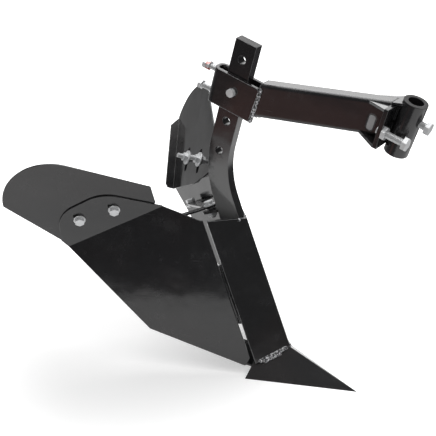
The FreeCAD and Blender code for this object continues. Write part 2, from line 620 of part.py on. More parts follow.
def make_hinge_pin():
    length = HINGE_TOP - HINGE_BOTTOM + 2 * PIN_REACH
    return rod(PIN_RADIUS, (HINGE_AXIS[0], HINGE_AXIS[1], HINGE_BOTTOM - PIN_REACH), (0, 0, 1), length)


# ---- braces: slotted links from each wing to a bolt behind the shank ----
def bracket_top():
    return BRACE_Z[1] - BRACE_GAP


def shank_rear():
    """Ridge frame x of the shank's rear edge, below its bend."""
    corner = ridge.inverse().multiply(upright).multVec(V(0, 0, SHANK_BEND_Z))
    diverge = math.radians(LEAN_FORWARD + RIDGE_RAKE - SHANK_TURN)
    return corner.x + (bracket_top() - corner.z) * math.tan(diverge) - SHANK_WIDTH / 2


def make_brace_bracket():
    """Plate welded to the shank's rear edge, under the links."""
    rear = BRACE_BOLT_X - BRACKET_HALF
    low = bracket_top() - BRACKET_THICK
    front = shank_rear()
    bracket = plate([(rear, -BRACKET_HALF, BRACKET_CORNER), (front, -BRACKET_HALF), (front, BRACKET_HALF),
                     (rear, BRACKET_HALF, BRACKET_CORNER)], low, bracket_top(), "xy")
    return bracket.cut(stud(BRACE_BOLT_RADIUS, (BRACE_BOLT_X, 0, low), (0, 0, 1), BRACKET_THICK))


def make_brace_bolt():
    top = BRACE_Z[0] + BRACE_THICK + BRACE_GAP
    low = bracket_top() - BRACKET_THICK - BRACE_BOLT_TAIL
    shaft = stud(BRACE_BOLT_RADIUS, (BRACE_BOLT_X, 0, low), (0, 0, 1), top - low)
    flange = stud(BOLT_FLANGE_RADIUS, (BRACE_BOLT_X, 0, top), (0, 0, 1), BOLT_FLANGE_THICK, WASHER_SIDES)
    head = prism(M8_FLATS, (BRACE_BOLT_X, 0, top + BOLT_FLANGE_THICK), (0, 0, 1), M8_HEAD)
    return shaft.fuse([flange, head])


def make_brace_nut():
    top = bracket_top() - BRACKET_THICK
    nut = prism(M8_FLATS, (BRACE_BOLT_X, 0, top), (0, 0, -1), M8_NUT)
    return nut.cut(stud(BRACE_BOLT_RADIUS, (BRACE_BOLT_X, 0, top - M8_NUT), (0, 0, 1), M8_NUT))


def wing_pivot():
    """Brace pivot on the right wing, in the ridge frame."""
    here = wing.multVec(V(BRACE_PIVOT[0], BRACE_PIVOT[1], 0))
    return ridge.inverse().multVec(here)


def rounded_bar(near, far, half):
    """Tall bar along x with round ends, for cutting out a link."""
    r = half * ROUND_END
    return plate([(near, -half, r), (far, -half, r), (far, half, r), (near, half, r)], 0, WING_ROOM, "xy")


def make_brace(level, outer):
    """Right-hand link in the ridge frame: round hole at the wing, slot at the shank."""
    pivot = wing_pivot()
    run = V(BRACE_BOLT_X, 0, 0) - V(pivot.x, pivot.y, 0)
    length, half = run.Length, BRACE_WIDTH / 2
    slot_half = BRACE_BOLT_RADIUS + BRACE_SLOT_PLAY
    tip = length + BRACE_TRAVEL + BRACE_END
    side = [(-half, outer), (half, outer), (length - BRACE_FLAT, level), (tip, level)]
    bar = plate(side + [(a, b + BRACE_THICK) for a, b in reversed(side)], -half, half)
    bar = bar.common(rounded_bar(-half, tip, half)).cut(rod(BRACE_BOLT_RADIUS + PIN_CLEARANCE, (0, 0, 0),
                                                            (0, 0, 1), 2 * outer))
    reach = BRACE_TRAVEL + slot_half
    bar = bar.cut(rounded_bar(length - reach, length + reach, slot_half))
    turn = math.degrees(math.atan2(run.y, run.x))
    bar.Placement = Placement(V(pivot.x, pivot.y, 0), Rotation(V(0, 0, 1), turn))
    return bar


def make_brace_lug(outer):
    """Plate on the wing's inner face that carries the link."""
    x, y = BRACE_PIVOT
    low = outer - BRACE_THICK - BRACE_GAP
    root, tip = LUG_HALF, LUG_HALF - LUG_TAPER
    lug = plate([(x - root, -WING_THICK), (x + root, -WING_THICK), (x + tip, y - LUG_REACH, BRACKET_CORNER),
                 (x - tip, y - LUG_REACH, BRACKET_CORNER)], low, low + BRACE_THICK, "xy")
    return lug.cut(stud(BRACE_BOLT_RADIUS, (x, y, low), (0, 0, 1), BRACE_THICK))


def make_pivot_bolt(outer):
    """Bolt that a link turns on, through the link and its lug."""
    x, y = BRACE_PIVOT
    shoulder = outer - BRACE_GAP
    low = shoulder - BRACE_THICK - PIVOT_TAIL
    top = outer + BRACE_THICK + BRACE_GAP
    head = prism(M8_FLATS, (x, y, top), (0, 0, 1), M8_HEAD)
    return head.fuse([rod(BRACE_BOLT_RADIUS, (x, y, shoulder), (0, 0, 1), top - shoulder),
                      stud(BRACE_BOLT_RADIUS, (x, y, low), (0, 0, 1), shoulder - low)])


right = {
    "wing": make_wing(),
    "extension": make_extension(),
    "wing_bolts": bolt_stack("bolt"),
    "wing_washers": bolt_stack("washer"),
    "wing_nuts": bolt_stack("nut"),
}
for name, shape in right.items():
    if name != "wing":
        shape.Placement = flange_place.multiply(shape.Placement)
    placed = put(shape, wing)
    parts[name + "_right"] = placed
    parts[name + "_left"] = mirrored(placed)

for side, level, outer in zip(("right", "left"), BRACE_Z, BRACE_OUTER_Z):
    pieces = {"wing_knuckle": put(make_wing_knuckle(), wing),
              "brace_lug": put(make_brace_lug(outer), wing),
              "pivot_bolt": put(make_pivot_bolt(outer), wing),
              "brace": put(make_brace(level, outer), ridge)}
    for name, shape in pieces.items():
        parts[name + "_" + side] = shape if side == "right" else mirrored(shape)

for name, make in (("breast_knuckles", make_breast_knuckles), ("hinge_pins", make_hinge_pin)):
    pair = put(make(), ridge)
    parts[name] = Part.makeCompound(pair.Solids + mirrored(pair).Solids)

share = put(make_share(), floor)
breast = put(make_breast(), ridge).cut(share)
room = put(Part.makeBox(2 * SHARE_TIP_X, 200, SOLE_THICK + 100, V(-SHARE_TIP_X, -100, -100)), floor)
shank = put(make_shank(), upright).cut(put(ahead_of_breast(), ridge)).cut(share).cut(room)
parts["breast_plate"] = breast
parts["share"] = share
parts["sole_plate"] = put(make_sole(), floor)
parts["shank"] = shank
parts["brace_bracket"] = put(make_brace_bracket(), ridge).cut(shank)
parts["brace_bolt"] = put(make_brace_bolt(), ridge)
parts["brace_nut"] = put(make_brace_nut(), ridge)
for name, make in (("clamp_strap", make_clamp), ("clamp_bolts", make_clamp_bolts),
                   ("clamp_nut", make_clamp_nut), ("depth_pin", make_depth_pin),
                   ("beam_tube", make_beam), ("beam_key", beam_slot),
                   ("beam_end_plate", make_end_plate), ("hitch_gussets", make_gussets),
                   ("hitch_web", make_hitch_web), ("hitch_strap", make_hitch_strap),
                   ("stop_bolts", make_stop_bolts), ("stop_nuts", make_stop_nuts)):
    parts[name] = put(make(), upright)
parts["hitch_tube"] = put(make_hitch_tube(), hitch)
parts["set_bolt"] = put(make_set_bolt(), hitch)

os.makedirs("parts", exist_ok=True)
for name, shape in parts.items():
    print("%-20s valid %s solids %d" % (name, shape.isValid(), len(shape.Solids)))
    shape.exportStep("parts/" + name + ".step")
box = Part.makeCompound(list(parts.values())).BoundBox
print("box", box)
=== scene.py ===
"""Looks, light and camera for the ridging plough.

Metres.  The origin is the middle of the hitch tube's bore, +X is forward, +Y is left, +Z is up.
"""
import json
import math

import bpy
from bpy.props import FloatProperty, FloatVectorProperty, PointerProperty
from mathutils import Matrix, Vector


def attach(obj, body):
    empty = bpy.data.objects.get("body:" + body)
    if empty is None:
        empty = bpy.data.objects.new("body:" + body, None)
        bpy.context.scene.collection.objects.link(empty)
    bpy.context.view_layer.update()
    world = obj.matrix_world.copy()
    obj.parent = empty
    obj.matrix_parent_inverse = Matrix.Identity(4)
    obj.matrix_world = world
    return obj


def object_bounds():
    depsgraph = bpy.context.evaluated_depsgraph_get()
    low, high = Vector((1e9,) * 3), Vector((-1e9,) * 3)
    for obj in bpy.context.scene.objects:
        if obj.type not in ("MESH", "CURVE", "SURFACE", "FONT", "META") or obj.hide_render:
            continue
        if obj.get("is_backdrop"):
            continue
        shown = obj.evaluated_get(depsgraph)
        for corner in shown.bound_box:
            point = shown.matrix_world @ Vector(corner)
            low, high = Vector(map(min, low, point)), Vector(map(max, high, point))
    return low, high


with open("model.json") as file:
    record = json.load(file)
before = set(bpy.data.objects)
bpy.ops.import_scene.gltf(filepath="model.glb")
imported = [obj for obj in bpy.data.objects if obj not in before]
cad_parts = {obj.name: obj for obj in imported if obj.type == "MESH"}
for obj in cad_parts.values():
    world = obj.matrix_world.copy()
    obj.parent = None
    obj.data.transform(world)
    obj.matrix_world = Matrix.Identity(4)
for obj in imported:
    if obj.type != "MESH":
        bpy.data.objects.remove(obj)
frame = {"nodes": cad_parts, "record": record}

bl_info = {
    "name": "Ridging plough looks",
    "version": (1, 0, 0),
    "blender": (4, 5, 0),
    "location": "3D View > Sidebar > Plough",
    "description": "Gloss black paint, zinc-plated bolts, weld beads and a pale studio for a ridging plough",
    "category": "Object",
}

MM = 0.001
FORWARD = Vector((1, 0, 0))
UP = Vector((0, 0, 1))
HANDS = {"right": -1, "left": 1}                     # side of the plough: sign of Y

# ---- places: the upright frame leans with the shank, the ridge frame with the breast ----
LEAN_FORWARD = math.radians(15.0)
HITCH_LEAN = math.radians(2.8)                       # of the hitch tube, on top of the shank's
RIDGE_RAKE = math.radians(-22.4)
UPRIGHT = Matrix.Rotation(LEAN_FORWARD, 3, "Y")
HITCH = Matrix.Rotation(LEAN_FORWARD + HITCH_LEAN, 3, "Y")
RIDGE = Matrix.Rotation(RIDGE_RAKE, 3, "Y")
HITCH_MIDDLE = Vector((256.1, 0.0, 152.8)) * MM      # in the upright frame
RIDGE_TOP = Vector((-245.4, 0.0, -198.2)) * MM       # from the hitch bore's middle
FLANGE_IN = Vector((-0.6035, 0.7046, 0.3733))        # square to the right wing's flange, inwards


def upright_place(x, y, z):
    """A point of the shank's upright frame, given in millimetres, in the plough's frame."""
    return UPRIGHT @ (Vector((x, y, z)) * MM - HITCH_MIDDLE)


def ridge_place(x, y, z):
    """A point of the breast's ridge frame, given in millimetres, in the plough's frame."""
    return RIDGE_TOP + RIDGE @ (Vector((x, y, z)) * MM)


# ---- settings ----
class PaintSettings(bpy.types.PropertyGroup):
    black: FloatVectorProperty(name="Black", description="Colour of the paint", subtype="COLOR",
                               default=(0.014, 0.014, 0.015), min=0, max=1)
    # painted reflection: brown patches at random stand for the reddish room that the gloss reflects on the
    # beam, strap and shank
    reddish_sheen: FloatVectorProperty(name="Primer", description="Brown that shows faintly through thin paint",
                                subtype="COLOR", default=(0.030, 0.017, 0.015), min=0, max=1)
    # colour of scratches, specks and rubbed paint, and of the painted highlight along the paint's edges
    wear_and_highlight: FloatVectorProperty(name="Worn edge", description="Colour of rubbed edges and scratches",
                              subtype="COLOR", default=(0.18, 0.18, 0.185), min=0, max=1)
    # painted reflection: grey on the shank's lower sides, standing in for the white floor that their gloss
    # reflects
    sheen_grey: FloatVectorProperty(name="Haze", description="Grey film on the sides of the shank's lower half",
                              subtype="COLOR", default=(0.125, 0.125, 0.125), min=0, max=1)
    gloss: FloatProperty(name="Roughness", description="Roughness of the paint", subtype="FACTOR",
                         default=0.07, min=0, max=1)
    edge: FloatProperty(name="Edge radius", description="How far an edge looks rounded", unit="LENGTH",
                        default=1.3 * MM)
    tube_edge: FloatProperty(name="Tube corner radius", unit="LENGTH", default=4.5 * MM,
                             description="How far the beam tube's corners look rounded")
    strap_edge: FloatProperty(name="Strap edge radius", unit="LENGTH", default=2.2 * MM,
                              description="How far the edges of the clamp strap and the breast look rounded")


class ZincSettings(bpy.types.PropertyGroup):
    zinc: FloatVectorProperty(name="Zinc", description="Colour of the plated bolts", subtype="COLOR",
                              default=(0.90, 0.91, 0.92), min=0, max=1)
    marks: FloatVectorProperty(name="Marks", description="Colour of the marks on the clamp's lock nut",
                               subtype="COLOR", default=(0.50, 0.13, 0.10), min=0, max=1)
    gloss: FloatProperty(name="Roughness", description="Roughness of the plating", subtype="FACTOR",
                         default=0.30, min=0, max=1)
    edge: FloatProperty(name="Edge radius", description="How far an edge looks rounded", unit="LENGTH",
                        default=0.5 * MM)
    # painted shade: within this distance of another face the plating is darkened
    nook: FloatProperty(name="Nook depth", unit="LENGTH", default=7 * MM,
                        description="How near another face is where the plating looks dark")
    pitch: FloatProperty(name="Thread pitch", description="Distance between thread crests", unit="LENGTH",
                         default=1.5 * MM)


class WeldSettings(bpy.types.PropertyGroup):
    radius: FloatProperty(name="Bead radius", description="Radius of a weld bead", unit="LENGTH",
                          default=3.3 * MM)
    step: FloatProperty(name="Ripple", description="Distance between a bead's ripples", unit="LENGTH",
                        default=2.6 * MM)


class StudioSettings(bpy.types.PropertyGroup):
    azimuth: FloatProperty(name="Azimuth", subtype="ANGLE", default=math.radians(33.88),
                           description="Camera's turn from the plough's right side towards its front")
    elevation: FloatProperty(name="Elevation", description="Camera's angle above the target",
                             subtype="ANGLE", default=math.radians(25.56))
    distance: FloatProperty(name="Distance", description="From the camera to its target", unit="LENGTH",
                            default=1.7954)
    lens: FloatProperty(name="Lens", description="Focal length in millimetres", unit="CAMERA", default=97.65)
    target: FloatVectorProperty(name="Target", description="Point that the camera looks at", unit="LENGTH",
                                default=(-0.2976, 0.0, -0.2120))
    foot: FloatVectorProperty(name="Sheet middle", size=2, unit="LENGTH", default=(-0.287, 0.0),
                              description="Middle of the white sheet under the plough")
    sheet: FloatVectorProperty(name="Sheet edges", unit="LENGTH", default=(-0.72, 0.60, -1.30),
                               description="Near, far and left edge of the sheet, from its middle")
    warm: FloatVectorProperty(name="Warm floor", description="Floor seen in the gloss in front of the sheet",
                              subtype="COLOR", default=(0.40, 0.23, 0.21), min=0, max=1)
    glow: FloatProperty(name="Floor glow", description="Lift of the floor to plain white", subtype="FACTOR",
                        default=0.36, min=0, max=1)
    soft: FloatProperty(name="Soft light", description="Even light from all round", subtype="FACTOR",
                        default=0.4, min=0, max=1)


# ---- shader expressions ----
class Value:
    """A socket that can be used in an expression."""

    def __init__(self, shading, socket):
        self.shading = shading
        self.socket = socket

    def _math(self, operation, first, second):
        return self.shading.node("ShaderNodeMath", {"operation": operation}, {0: first, 1: second})

    def __add__(self, other):
        return self._math("ADD", self, other)

    def __radd__(self, other):
        return self._math("ADD", other, self)

    def __sub__(self, other):
        return self._math("SUBTRACT", self, other)

    def __rsub__(self, other):
        return self._math("SUBTRACT", other, self)

    def __mul__(self, other):
        return self._math("MULTIPLY", self, other)

    def __rmul__(self, other):
        return self._math("MULTIPLY", other, self)

    def __gt__(self, other):
        return self._math("GREATER_THAN", self, other)


class Shading:
    """A node tree under construction, and the coordinates that its patterns read."""

    def __init__(self, tree, output, coordinates):
        self.tree = tree
        self.tree.nodes.clear()
        self.output = self.tree.nodes.new(output)
        self.place = self.node("ShaderNodeTexCoord", {}, {}, coordinates)

    def node(self, kind, settings, inputs, out=0):
        """Adds a node, sets it up, fills its sockets with values or links, and returns one output."""
        made = self.tree.nodes.new(kind)
        for key, value in settings.items():
            setattr(made, key, value)
        for key, value in inputs.items():
            if isinstance(value, Value):
                self.tree.links.new(value.socket, made.inputs[key])
            else:
                made.inputs[key].default_value = value
        return Value(self, made.outputs[out])

    def show(self, shader):
        """Puts a shader on the output."""
        self.tree.links.new(shader.socket, self.output.inputs["Surface"])

    def noise(self, scale, detail=2.0, rough=0.5, stretch=(1.0, 1.0, 1.0), turn=(0.0, 0.0, 0.0)):
        """Noise from 0 to 1."""
        place = self.node("ShaderNodeMapping", {}, {"Vector": self.place, "Rotation": turn, "Scale": stretch})
        return self.node("ShaderNodeTexNoise", {}, {"Vector": place, "Scale": scale, "Detail": detail,
                                                    "Roughness": rough}, "Fac")

    def band(self, value, start, full):
        """0 at start, 1 at full, smooth between; full may lie below start."""
        return self.node("ShaderNodeMapRange", {"interpolation_type": "SMOOTHSTEP"},
                         {"Value": value, "From Min": start, "From Max": full}, "Result")

    def mix(self, factor, first, second):
        """Colour mix."""
        return self.node("ShaderNodeMix", {"data_type": "RGBA"}, {"Factor": factor, 6: first, 7: second}, 2)

    def dim(self, tint, amount):
        """Colour times a number."""
        return self.node("ShaderNodeVectorMath", {"operation": "SCALE"}, {0: tint, "Scale": amount}, "Vector")

    def dot(self, first, second):
        """Dot product of two vectors."""
        return self.node("ShaderNodeVectorMath", {"operation": "DOT_PRODUCT"}, {0: first, 1: second}, "Value")

    def axis(self, name):
        """One coordinate of the place: X, Y or Z."""
        return self.node("ShaderNodeSeparateXYZ", {}, {"Vector": self.place}, name)

    def along(self, direction):
        """Distance from the origin along a direction."""
        return self.dot(self.place, tuple(direction))

    def ray(self, kind):
        """1 for one kind of ray, such as Is Glossy Ray."""
        return self.node("ShaderNodeLightPath", {}, {}, kind)


EDGE_TURN = (0.985, 0.86)       # cosines of the rounded normal's turn, where an edge starts and is full


class Finish(Shading):
    """A material under construction, on Object coordinates."""

    def __init__(self, name):
        self.material = bpy.data.materials.new(name)
        self.material.use_nodes = True
        super().__init__(self.material.node_tree, "ShaderNodeOutputMaterial", "Object")

    def round_edges(self, radius):
        """Normal that is rounded near the edges, and a mask that is 1 on them."""
        rounded = self.node("ShaderNodeBevel", {"samples": 6}, {"Radius": radius}, "Normal")
        flat = self.node("ShaderNodeNewGeometry", {}, {}, "True Normal")
        return rounded, self.band(self.dot(rounded, flat), *EDGE_TURN)

    def bump(self, height, strength, distance, **normal):
        """Normal with a relief on it."""
        inputs = {"Height": height, "Strength": strength, "Distance": distance, **normal}
        return self.node("ShaderNodeBump", {}, inputs, "Normal")

    def surface(self, **sockets):
        """Principled surface with the given sockets; names use spaces for underscores."""
        inputs = {key.replace("_", " "): value for key, value in sockets.items()}
        self.show(self.node("ShaderNodeBsdfPrincipled", {}, inputs, "BSDF"))
        return self.material


def colour(values, scale=1.0):
    """An opaque colour, made brighter or darker."""
    return (values[0] * scale, values[1] * scale, values[2] * scale, 1.0)


def grey(level):
    """An opaque grey."""
    return colour((level, level, level))


# ---- finishes ----
PAINT_IOR = 1.65                # deep gloss
# a painted grey reflection on the shank's lower sides, where the gloss shows the white floor
SHEEN_HEIGHTS = (2.0, -45.0, -105.0)     # start, full and end on the shank, in upright millimetres
SHEEN_DRIFT = 50 * MM            # how far the painted reflection's upper limit wanders
SHEEN_FADE = 30 * MM             # height over which the painted reflection ends
SAWN_DEPTH = 1.0 * MM
SAWN_DULL = 0.4                 # roughness added on a sawn end
SPATTER_SHINE = 4.5             # how much brighter spatter is than the colour of wear and edge highlight


def black_paint(name, settings, brown=0.15, wear_and_highlight=0.55, edge_radius=None, sheen=None, sawn=None):
    """Gloss black paint over rolled steel, with brown patches that paint a reddish reflection, and edges that
    are lighter partly from rubbing and partly as a painted highlight.

    Three heights place a painted grey reflection on the shank's sides: where it starts, going down, where it
    is full and where it ends.
    sawn is a direction and the distance along it from which a sawn end is dull.
    """
    paint = Finish(name)
    rounded, edge = paint.round_edges(edge_radius or settings.edge)
    cloud = paint.noise(9.0, detail=3.0)
    mottle = paint.noise(60.0, detail=4.0, rough=0.6)
    thin = paint.band(cloud, 0.42, 0.7)
    # brown patches at random: painted reddish reflection
    base = paint.mix(thin * brown, colour(settings.black), colour(settings.reddish_sheen))
    if sheen:
        # painted reflection: grey on the shank's lower sides
        base = paint.mix(shank_sheen(paint, cloud, *sheen), base, colour(settings.sheen_grey))
    base = paint.mix(paint_wear(paint, mottle), base, colour(settings.wear_and_highlight))
    # edges lighter: partly rubbed paint, partly a painted highlight along the rounded edges
    base = paint.mix(edge * paint.band(mottle, 0.3, 0.6) * wear_and_highlight, base, colour(settings.wear_and_highlight))
    rough = settings.gloss + mottle * 0.10
    if sawn:
        rough = rough + (paint.along(sawn[0]) > sawn[1]) * SAWN_DULL
    peel = paint.noise(420.0, detail=1.0)
    wave = paint.noise(14.0, detail=1.5) + paint.noise(34.0, detail=1.0) * 0.25
    relief = paint.bump(peel * 0.03 + wave, 0.5, 2.0 * MM, Normal=rounded)
    return paint.surface(Base_Color=base, Roughness=rough, IOR=PAINT_IOR, Normal=relief)


def shank_sheen(paint, cloud, start, full, end):
    """Painted reflection: grey on faces that look sideways, patchy, between two heights."""
    height = paint.axis("Z")
    sheen = paint.band(height + (cloud - 0.5) * SHEEN_DRIFT, start, full)
    patches = paint.band(paint.noise(24.0, detail=4.0, rough=0.7), 0.5, 0.66)
    sideways = paint.dot(paint.node("ShaderNodeTexCoord", {}, {}, "Normal"), (0, 1, 0))
    sheen = sheen * (1.0 - patches * 0.7) * paint.band(sideways * sideways, 0.3, 0.6)
    return sheen * paint.band(height, end - SHEEN_FADE, end)


def paint_wear(paint, mottle):
    """How much dust, scratches, specks and smudges lighten the paint."""
    dust = paint.band(mottle, 0.6, 0.85) * 0.12
    streaks = paint.noise(22.0, stretch=(1.0, 1.0, 10.0), turn=(0.5, 0.9, 0.3))
    scratch = paint.band(streaks, 0.70, 0.80) * 0.10
    speck = paint.band(paint.noise(300.0, detail=3.0, rough=0.7), 0.66, 0.76) * 0.22
    smudge = paint.band(paint.noise(17.0, detail=5.0, rough=0.75), 0.45, 0.8) * 0.10
    return dust + scratch + speck + smudge


def weld_metal(name, settings):
    """Painted weld with bright spatter left on its ripples."""
    weld = Finish(name)
    patch = weld.noise(430.0, detail=3.0, rough=0.6)
    spatter = weld.band(patch, 0.50, 0.58)
    base = weld.mix(spatter, colour(settings.black), colour(settings.wear_and_highlight, SPATTER_SHINE))
    relief = weld.bump(weld.noise(700.0) + patch, 0.5, 0.5 * MM)
    return weld.surface(Base_Color=base, Roughness=0.3 + spatter * 0.2, IOR=PAINT_IOR, Normal=relief)


# painted highlight: how bright the zinc's edges are painted
PAINTED_EDGE_HIGHLIGHT = 0.9
PATCH_SHADE, NOOK_SHADE, GROOVE_SHADE = 0.78, 0.06, 0.28    # of the zinc's own colour


def zinc_plate(name, settings, shade=1.0, thread=None, marked=False):
    """Zinc-plated steel, with a painted highlight on its edges and painted shade in nooks and thread grooves;
    thread is (direction from head to tip, start on the right, start on the left).
    """
    zinc = Finish(name)
    rounded, edge = zinc.round_edges(settings.edge)
    patch = zinc.noise(160.0, detail=3.0)
    base = zinc.mix(patch, colour(settings.zinc, shade), colour(settings.zinc, PATCH_SHADE * shade))
    # painted highlight along the zinc's rounded edges
    base = zinc.mix(edge * 0.5, base, grey(PAINTED_EDGE_HIGHLIGHT))
    # painted shade: the plating is darkened where another face is near
    open_air = zinc.node("ShaderNodeAmbientOcclusion", {"samples": 8}, {"Distance": settings.nook}, "AO")
    base = zinc.mix(zinc.band(open_air, 0.62, 0.3) * 0.9, base, colour(settings.zinc, NOOK_SHADE))
    if marked:
        base = zinc.mix(zinc.band(zinc.noise(110.0, detail=1.0), 0.40, 0.55), base, colour(settings.marks))
    height = zinc.noise(700.0) * 0.25
    if thread:
        groove = thread_groove(zinc, settings.pitch, *thread)
        # painted shade in the thread's grooves
        base = zinc.mix(groove * 0.7, base, colour(settings.zinc, GROOVE_SHADE * shade))
        height = height - groove
    return zinc.surface(Base_Color=base, Metallic=0.4, Roughness=settings.gloss + patch * 0.15,
                        Normal=zinc.bump(height, 0.35, 0.5 * MM, Normal=rounded))


def thread_groove(zinc, pitch, direction, right_start, left_start):
    """Mask of a thread's grooves past its start along the bolt."""
    along = zinc.along(direction)
    start = (zinc.axis("Y") > 0.0) * (left_start - right_start) + right_start
    turns = zinc.node("ShaderNodeMath", {"operation": "SINE"}, {0: along * (2 * math.pi / pitch)})
    return zinc.band(turns, 0.9, -0.9) * zinc.band(along - start, 0.0, 0.3 * MM)


def dress(node, material):
    """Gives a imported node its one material."""
    mesh = frame["nodes"][node].data
    mesh.materials.clear()
    mesh.materials.append(material)


def far_end(node, direction):
    """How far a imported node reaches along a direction."""
    return max(v.co.dot(direction) for v in frame["nodes"][node].data.vertices)


class PLOUGH_OT_black_paint(bpy.types.Operator):
    """Gloss black paint on every painted piece"""
    bl_idname = "plough.black_paint"
    bl_label = "Black paint"

    def execute(self, context):
        settings = context.scene.plough_paint
        # heights of the painted reflection on the shank's lower sides
        sheen = [upright_place(0.0, 0.0, height).z for height in SHEEN_HEIGHTS]
        sawn_shank, sawn_tube = [(turn @ UP, far_end(node, turn @ UP) - SAWN_DEPTH)
                                 for node, turn in (("shank", UPRIGHT), ("hitch_tube", HITCH))]
        plain = black_paint("Gloss black", settings)
        finishes = {
            # numbers after settings: share of brown patches, a painted reddish reflection, and of edge
            # lightening, rubbed paint and painted highlight
            "beam_tube": black_paint("Gloss black, thin", settings, 0.3, 1.5, settings.tube_edge),
            "clamp_strap": black_paint("Gloss black, strap", settings, 0.4, 1.3, settings.strap_edge),
            "breast_plate": black_paint("Gloss black, breast", settings, 0.15, 1.2, settings.strap_edge),
            "shank": black_paint("Gloss black, painted_sheen", settings, 0.2, 0.9, sheen=sheen, sawn=sawn_shank),
            "hitch_tube": black_paint("Gloss black, pipe", settings, sawn=sawn_tube),
        }
        for part in frame["record"]["subparts"]:
            if part["material_slot"] == "black_paint":
                dress(part["node"], finishes.get(part["node"], plain))
        return {"FINISHED"}


# ---- bolts ----
M8_HEAD = 8.5 * MM
M10_HEAD = 7.5 * MM
THREADS = {                             # node: direction from head to tip, head height with its flange
    "wing_bolts_right": (FLANGE_IN, M8_HEAD),
    "wing_bolts_left": (FLANGE_IN * Vector((1, -1, 1)), M8_HEAD),
    "stop_bolts": (-(HITCH @ FORWARD), M10_HEAD),
    "set_bolt": (-(HITCH @ FORWARD), M10_HEAD),
    "clamp_bolts": (UPRIGHT @ FORWARD, M10_HEAD),
    "brace_bolt": (-(RIDGE @ UP), M8_HEAD),
    "pivot_bolt_right": (-(RIDGE @ UP), M8_HEAD),
    "pivot_bolt_left": (-(RIDGE @ UP), M8_HEAD),
}


def thread_start(node, direction, head, side):
    """Where a bolt's thread starts along its direction, on one side of the plough."""
    spots = [v.co.dot(direction) for v in frame["nodes"][node].data.vertices if v.co.y * side >= 0]
    return min(spots) + head if spots else 0.0


class PLOUGH_OT_zinc(bpy.types.Operator):
    """Zinc plating on bolts, nuts, washers and pins"""
    bl_idname = "plough.zinc"
    bl_label = "Zinc plating"

    def execute(self, context):
        settings = context.scene.plough_zinc
        plain = zinc_plate("Zinc plate", settings)
        finishes = {"beam_key": zinc_plate("Dull zinc", settings, shade=0.6),
                    "clamp_nut": zinc_plate("Marked zinc", settings, marked=True)}
        for node, (direction, head) in THREADS.items():
            starts = [thread_start(node, direction, head, side) for side in HANDS.values()]
            finishes[node] = zinc_plate(f"Zinc thread {node}", settings, thread=(direction, *starts))
        for part in frame["record"]["subparts"]:
            if part["material_slot"] != "black_paint":
                dress(part["node"], finishes.get(part["node"], plain))
        return {"FINISHED"}


# ---- welds ----
BEAM_HALF = 12.6                        # half the beam tube's width
SHARE_WELD = ((-5.0, 5.0, -211.5), (-34.0, 37.0, -216.0))   # both ends, as below, in the ridge frame
SECOND_BEAD = (0.25, 0.85)              # shares of it where the shorter bead under it starts and ends
BEAD_DROP = (1.5, -3.5)                 # the shorter bead's shift outwards and down, in millimetres
MELT_GRAIN = 5                          # grains to a bead's radius when its drops melt into one
FRAME_WELDS = {                         # name: place, both ends as (x, half spread, z) in millimetres
    "clamp_weld": (upright_place, (43.0, BEAM_HALF, 107.0), (39.5, BEAM_HALF, 56.0)),
    "end_plate_weld": (upright_place, (231.0, BEAM_HALF, 171.0), (231.0, BEAM_HALF, 133.0)),
    "breast_top_weld": (ridge_place, (-10.0, 7.8, 1.0), (-24.0, 8.5, 1.0)),
}


def start_piece():
    """Leaves edit mode and deselects everything."""
    if bpy.context.object and bpy.context.object.mode != "OBJECT":
        bpy.ops.object.mode_set(mode="OBJECT")
    bpy.ops.object.select_all(action="DESELECT")


def ripple_bead(name, start, end, radius, step):
    """A weld bead from start to end: overlapping drops, one a ripple, melted into one skin."""
    start_piece()
    along = end - start
    count = max(2, round(along.length / step))
    bpy.ops.mesh.primitive_uv_sphere_add(segments=12, ring_count=8, radius=radius)
    bead = bpy.context.object
    bead.name = name
    row = bead.modifiers.new("Row", "ARRAY")
    row.count = count + 1
    row.use_relative_offset = False
    row.use_constant_offset = True
    row.constant_offset_displace = (0.0, 0.0, along.length / count)
    melt = bead.modifiers.new("Melt", "REMESH")
    melt.mode = "VOXEL"
    melt.voxel_size = radius / MELT_GRAIN
    soften = bead.modifiers.new("Soften", "SMOOTH")
    soften.iterations = 2
    for modifier in ("Row", "Melt", "Soften"):
        bpy.ops.object.modifier_apply(modifier=modifier)
    bead.rotation_mode = "QUATERNION"
    bead.rotation_quaternion = UP.rotation_difference(along)
    bead.location = start
    bpy.ops.object.transform_apply(location=True, rotation=True, scale=True)
    bpy.ops.object.shade_smooth()
    return bead


def lay_weld(context, name, start, end):
    """A bead between two points, riding the frame and finished as weld metal."""
    weld = context.scene.plough_welds
    bead = ripple_bead(name, start, end, weld.radius, weld.step)
    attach(bead, "frame")
    bead.data.materials.clear()
    bead.data.materials.append(weld_finish(context))


def weld_finish(context):
    """The one finish that all beads share."""
    made = bpy.data.materials.get("Weld")
    return made or weld_metal("Weld", context.scene.plough_paint)


class PLOUGH_OT_share_welds(bpy.types.Operator):
    """Weld beads where the share's blades meet the breast"""
    bl_idname = "plough.share_welds"
    bl_label = "Share welds"

    def execute(self, context):
        out, down = BEAD_DROP
        for hand, side in HANDS.items():
            top, low = [ridge_place(x, side * y, z) for x, y, z in SHARE_WELD]
            drop = RIDGE @ (Vector((0.0, side * out, down)) * MM)
            start, end = [top.lerp(low, share) + drop for share in SECOND_BEAD]
            lay_weld(context, f"share_weld_{hand}", top, low)
            lay_weld(context, f"share_weld_{hand}_second", start, end)
        return {"FINISHED"}


